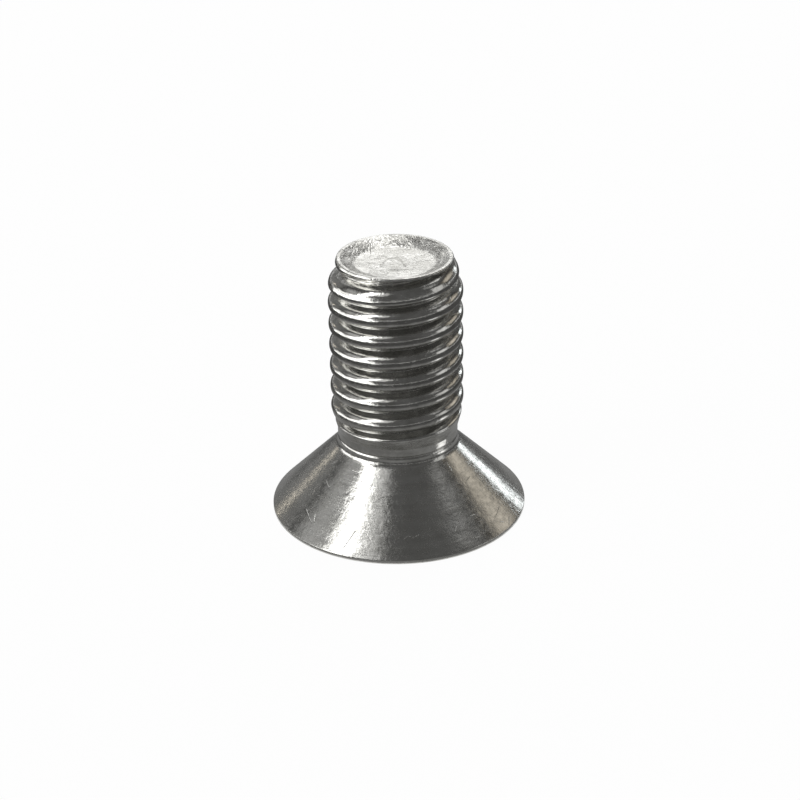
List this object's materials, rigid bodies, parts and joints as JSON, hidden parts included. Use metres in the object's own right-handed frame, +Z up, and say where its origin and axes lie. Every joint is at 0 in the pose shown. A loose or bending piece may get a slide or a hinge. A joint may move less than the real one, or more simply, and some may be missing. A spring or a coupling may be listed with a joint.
{
  "type": "countersunk machine screw",
  "caption": "Short right-hand threaded machine screw with a flat countersunk head, a plain neck and a shallow cup in its point, standing on its head.",
  "frame": {"origin": "centre of the head's flat face, on the surface that the screw stands on", "axes": "+Z up the shank to the point; +X to the right and +Y away from the camera in the picture's view"},
  "size_m": [0.0114, 0.0114, 0.012],
  "materials": {
    "steel": "bright plain steel, turned on the head's cone, rolled on the thread, matte in the cup of the point"
  },
  "bodies": {
    "root": {"screw": "steel"}
  },
  "joints": []
}
